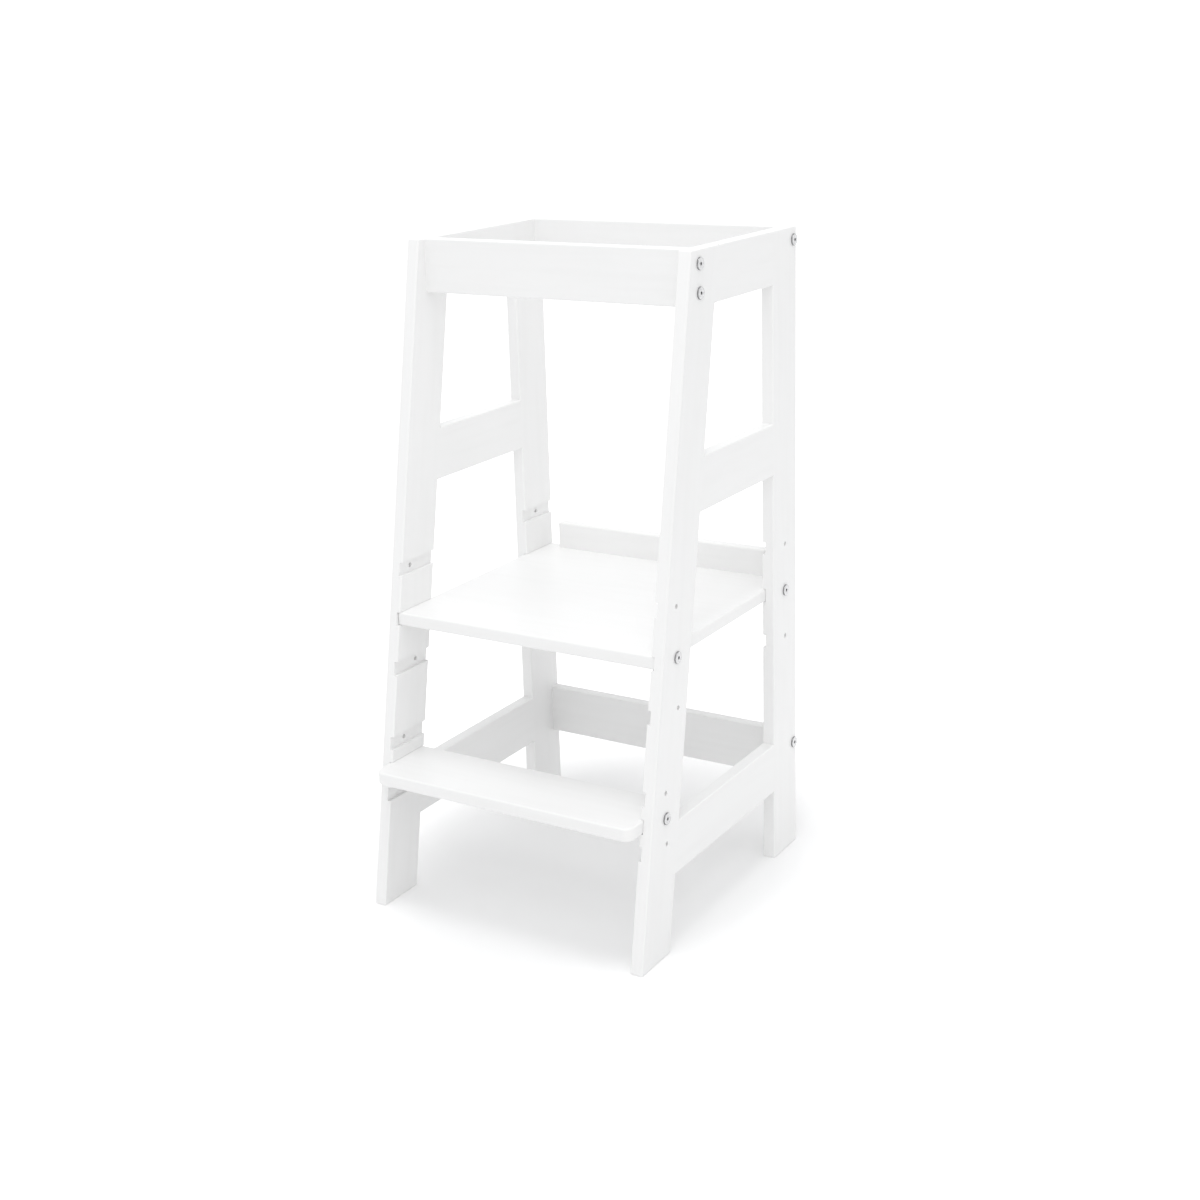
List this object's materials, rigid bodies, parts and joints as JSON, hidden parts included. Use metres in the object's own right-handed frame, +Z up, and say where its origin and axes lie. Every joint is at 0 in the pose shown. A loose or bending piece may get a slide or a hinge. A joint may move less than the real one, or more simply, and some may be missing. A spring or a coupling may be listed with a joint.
{
  "type": "toddler kitchen helper stool",
  "caption": "Tall white wooden kitchen helper stool for a toddler, with leaning front legs, guard rails, a bolted standing board with a heel board, and a step below.",
  "frame": {"origin": "on the floor, at the middle of the tower's width and depth", "axes": "+X to the right of someone facing the step, +Y from the step to the back, +Z up"},
  "size_m": [0.4328, 0.4558, 0.9],
  "materials": {
    "white_lacquer": "satin white lacquer on pine",
    "zinc_steel": "bright zinc plate",
    "beech": "bare fluteless dowel"
  },
  "bodies": {
    "root": {"left_front_leg": "white_lacquer", "left_rear_leg": "white_lacquer", "left_top_side_rail": "white_lacquer", "left_middle_side_rail": "white_lacquer", "left_lower_side_rail": "white_lacquer", "right_front_leg": "white_lacquer", "right_rear_leg": "white_lacquer", "right_top_side_rail": "white_lacquer", "right_middle_side_rail": "white_lacquer", "right_lower_side_rail": "white_lacquer", "top_front_rail": "white_lacquer", "top_back_rail": "white_lacquer", "lower_back_rail": "white_lacquer", "platform": "white_lacquer", "heel_board": "white_lacquer", "step_board": "white_lacquer", "top_front_rail_bolts": "zinc_steel", "top_back_rail_bolts": "zinc_steel", "lower_back_rail_bolts": "zinc_steel", "platform_bolts": "zinc_steel", "step_bolts": "zinc_steel", "top_front_rail_barrel_nuts": "zinc_steel", "top_back_rail_barrel_nuts": "zinc_steel", "lower_back_rail_barrel_nuts": "zinc_steel", "platform_barrel_nuts": "zinc_steel", "step_barrel_nuts": "zinc_steel", "heel_board_screws": "zinc_steel", "left_top_side_rail_dowels": "beech", "left_middle_side_rail_dowels": "beech", "left_lower_side_rail_dowels": "beech", "right_top_side_rail_dowels": "beech", "right_middle_side_rail_dowels": "beech", "right_lower_side_rail_dowels": "beech", "top_back_rail_dowels": "beech", "lower_back_rail_dowels": "beech"}
  },
  "joints": []
}
